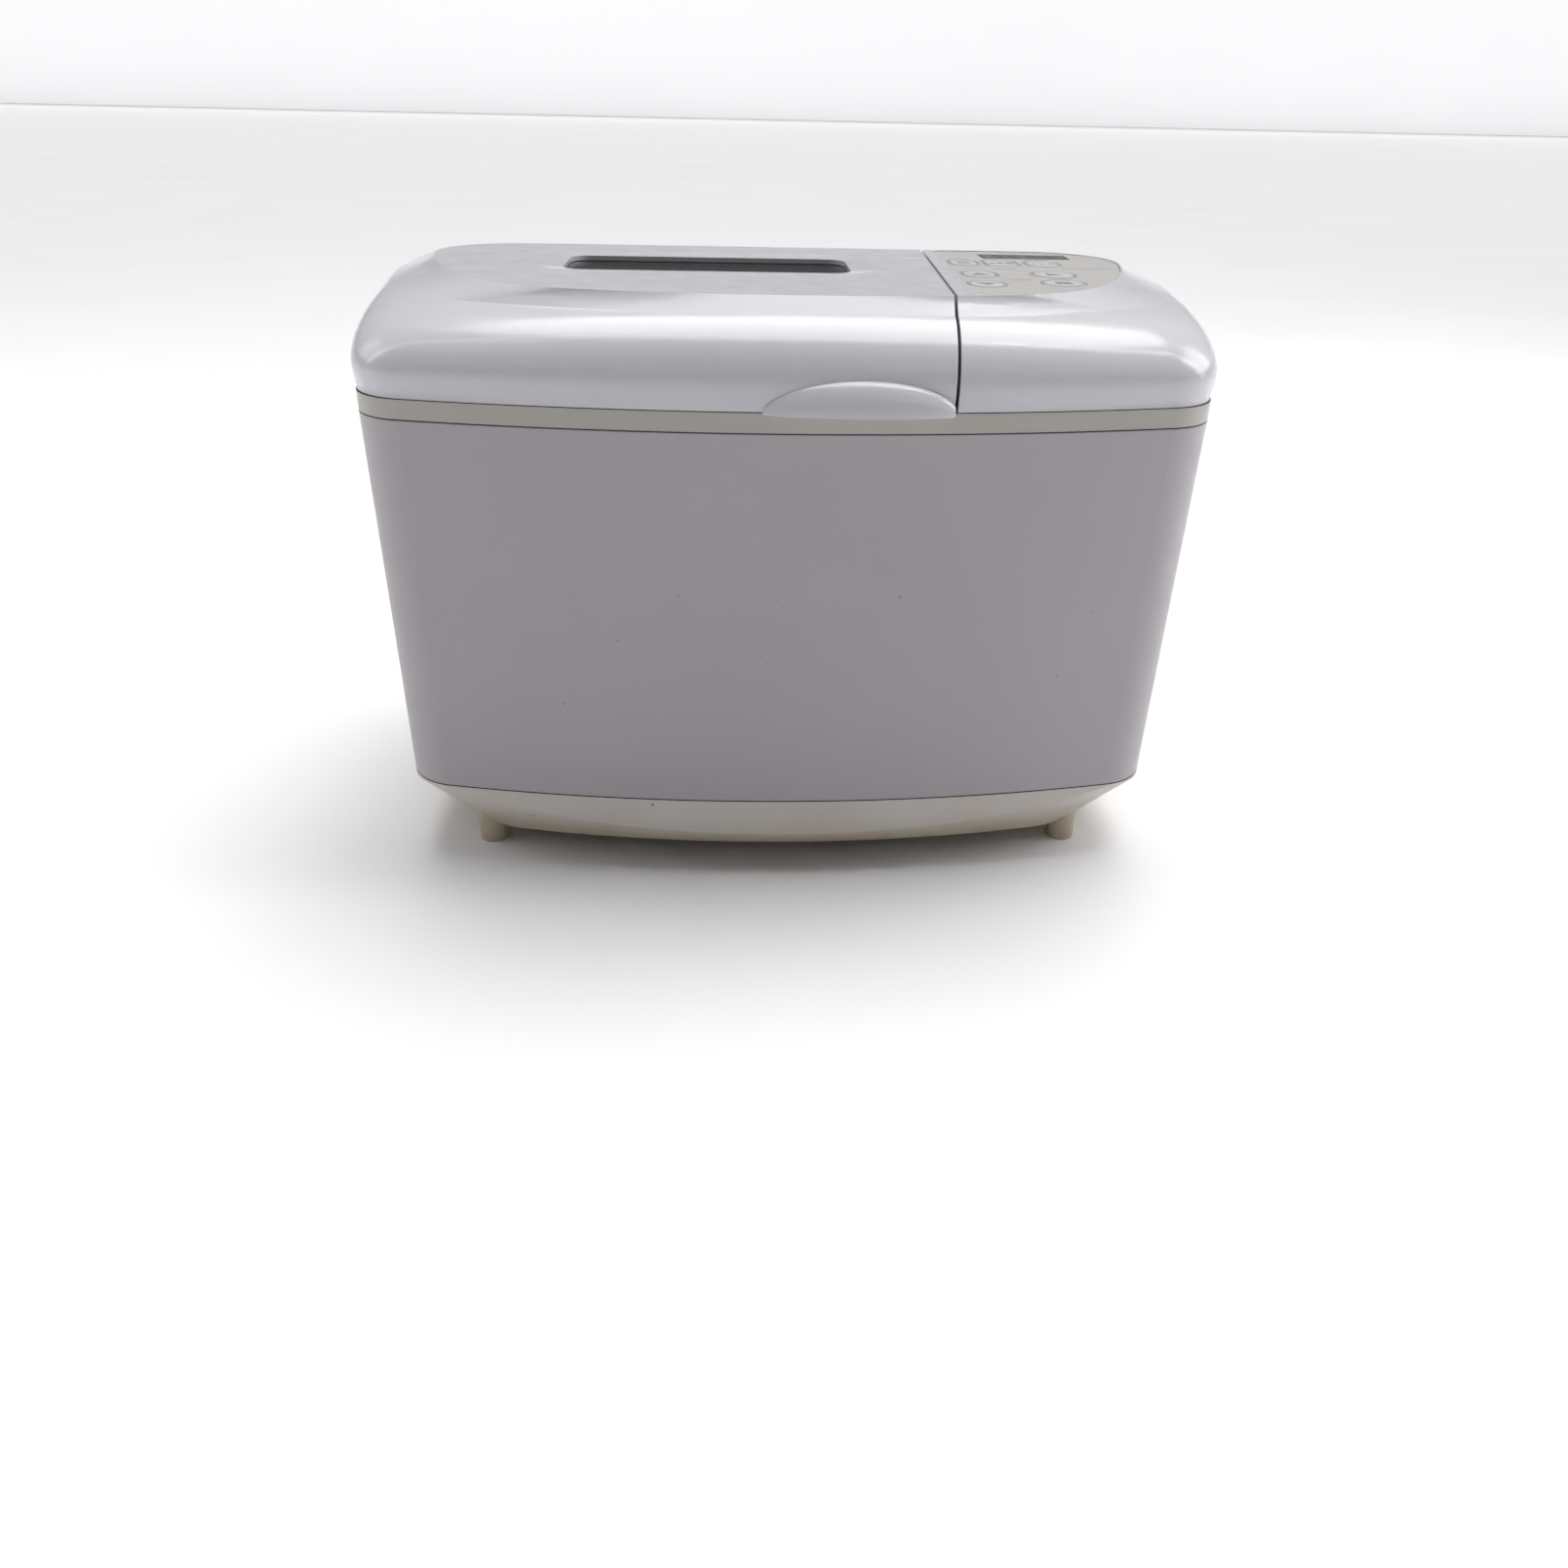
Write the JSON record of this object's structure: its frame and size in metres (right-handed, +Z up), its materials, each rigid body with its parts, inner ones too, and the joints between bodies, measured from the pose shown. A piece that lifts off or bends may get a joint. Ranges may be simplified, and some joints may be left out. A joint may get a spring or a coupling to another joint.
{
  "type": "bread machine",
  "caption": "White horizontal bread machine with a domed hinged lid and window, a control panel on the right, a lift-out pan with bail handle and a belt-driven kneading paddle.",
  "frame": {"origin": "centre of the footprint, on the plane the four feet stand on", "axes": "+X to the right as seen from the front, -Y out of the front, +Z up"},
  "size_m": [0.4262, 0.2814, 0.3025],
  "materials": {
    "shell_white": "gloss",
    "body_white": "satin",
    "collar_cream": "satin",
    "base_white": "satin",
    "panel_film": "satin",
    "key_film": "satin",
    "window_glass": "clear",
    "display_glass": "clear",
    "gasket_rubber": "matt",
    "liner_metal": "satin",
    "chamber_metal": "satin",
    "nonstick": "satin",
    "bright_steel": "polished",
    "plain_steel": "brushed",
    "element_sheath": "matt",
    "ceramic_white": "matt",
    "bronze": "satin",
    "black_plastic": "matt",
    "black_rubber": "matt",
    "cast_metal": "cast",
    "motor_paint": "satin",
    "board_green": "satin",
    "component_grey": "matt",
    "ribbon_grey": "satin"
  },
  "bodies": {
    "root": {"body_shell": "body_white", "base_tray": "base_white", "feet": "base_white", "top_collar": "collar_cream", "control_housing": "shell_white", "panel_overlay": "panel_film", "display_lens": "display_glass", "control_board": "board_green", "key_switches": "black_plastic", "oven_chamber": "chamber_metal", "heating_element": "element_sheath", "element_insulators": "ceramic_white", "temperature_sensor": "bright_steel", "thermal_fuse": "component_grey", "pan_seat": "plain_steel", "pan_clips": "bright_steel", "chassis_plate": "plain_steel", "bearing_housing": "cast_metal", "drive_bushes": "bronze", "drive_belt": "black_rubber", "motor_body": "motor_paint", "motor_mounts": "black_rubber", "motor_capacitor": "component_grey", "power_board": "board_green", "board_bracket": "plain_steel", "transformer": "motor_paint", "ribbon_cable": "ribbon_grey", "buzzer": "black_plastic", "cord_bushing": "black_plastic", "hinge_brackets": "plain_steel", "base_screws": "bright_steel"},
    "lid": {"lid_shell": "shell_white", "lid_liner": "liner_metal", "lid_window": "window_glass", "window_gasket": "gasket_rubber", "lid_hinge_arms": "plain_steel", "hinge_pins": "bright_steel", "lid_screws": "bright_steel", "lid_vent_grille": "shell_white"},
    "pan": {"bread_pan": "nonstick", "pan_base_ring": "plain_steel", "pan_bearing": "bronze", "handle_ears": "plain_steel", "ear_rivets": "bright_steel"},
    "pan_handle": {"pan_handle": "bright_steel"},
    "mixer": {"pan_shaft": "bright_steel", "upper_coupler": "cast_metal"},
    "paddle": {"kneading_paddle": "nonstick"},
    "drive": {"drive_shaft": "bright_steel", "drive_pulley": "cast_metal", "lower_coupler": "cast_metal"},
    "motor_rotor": {"motor_shaft": "bright_steel", "motor_pulley": "black_plastic"},
    "button_select": {"key_select": "key_film"},
    "button_loaf_size": {"key_loaf_size": "key_film"},
    "button_bake_color": {"key_bake_color": "key_film"},
    "button_timer_up": {"key_timer_up": "key_film"},
    "button_timer_down": {"key_timer_down": "key_film"},
    "button_start": {"key_start": "key_film"},
    "button_stop": {"key_stop": "key_film"}
  },
  "joints": [
    {"name": "lid_hinge", "type": "hinge", "parent": "root", "child": "lid", "pos_m": [0, 0.134, 0.2604], "axis": [-1, 0, 0], "range_deg": [0, 85]},
    {"name": "pan_lift", "type": "slide", "parent": "root", "child": "pan", "axis": [0, 0, 1], "range_m": [0, 0.01]},
    {"name": "handle_swing", "type": "hinge", "parent": "pan", "child": "pan_handle", "pos_m": [-0.052, 0, 0.216], "axis": [1, 0, 0], "range_deg": [0, 180]},
    {"name": "drive_spin", "type": "hinge", "parent": "root", "child": "drive", "pos_m": [-0.052, 0, 0], "axis": [0, 0, 1], "continuous": true},
    {"name": "motor_spin", "type": "hinge", "parent": "root", "child": "motor_rotor", "pos_m": [0.14, 0, 0], "axis": [0, 0, 1], "continuous": true},
    {"name": "mixer_spin", "type": "hinge", "parent": "pan", "child": "mixer", "pos_m": [-0.052, 0, 0], "axis": [0, 0, 1], "continuous": true},
    {"name": "paddle_lift", "type": "slide", "parent": "mixer", "child": "paddle", "axis": [0, 0, 1], "range_m": [0, 0.06]},
    {"name": "press_select", "type": "slide", "parent": "root", "child": "button_select", "axis": [0, 0, -1], "range_m": [0, 0.0005], "stiffness_N_per_m": 800, "springref_m": -0.0006},
    {"name": "press_loaf_size", "type": "slide", "parent": "root", "child": "button_loaf_size", "axis": [0, 0, -1], "range_m": [0, 0.0005], "stiffness_N_per_m": 800, "springref_m": -0.0006},
    {"name": "press_bake_color", "type": "slide", "parent": "root", "child": "button_bake_color", "axis": [0, 0, -1], "range_m": [0, 0.0005], "stiffness_N_per_m": 800, "springref_m": -0.0006},
    {"name": "press_timer_up", "type": "slide", "parent": "root", "child": "button_timer_up", "axis": [0, 0, -1], "range_m": [0, 0.0005], "stiffness_N_per_m": 800, "springref_m": -0.0006},
    {"name": "press_timer_down", "type": "slide", "parent": "root", "child": "button_timer_down", "axis": [0, 0, -1], "range_m": [0, 0.0005], "stiffness_N_per_m": 800, "springref_m": -0.0006},
    {"name": "press_start", "type": "slide", "parent": "root", "child": "button_start", "axis": [0, 0, -1], "range_m": [0, 0.0005], "stiffness_N_per_m": 800, "springref_m": -0.0006},
    {"name": "press_stop", "type": "slide", "parent": "root", "child": "button_stop", "axis": [0, 0, -1], "range_m": [0, 0.0005], "stiffness_N_per_m": 800, "springref_m": -0.0006}
  ],
  "couplings": [
    {"joint": "motor_spin", "follows": "drive_spin", "ratio": 4.6667},
    {"joint": "mixer_spin", "follows": "drive_spin", "ratio": 1}
  ]
}
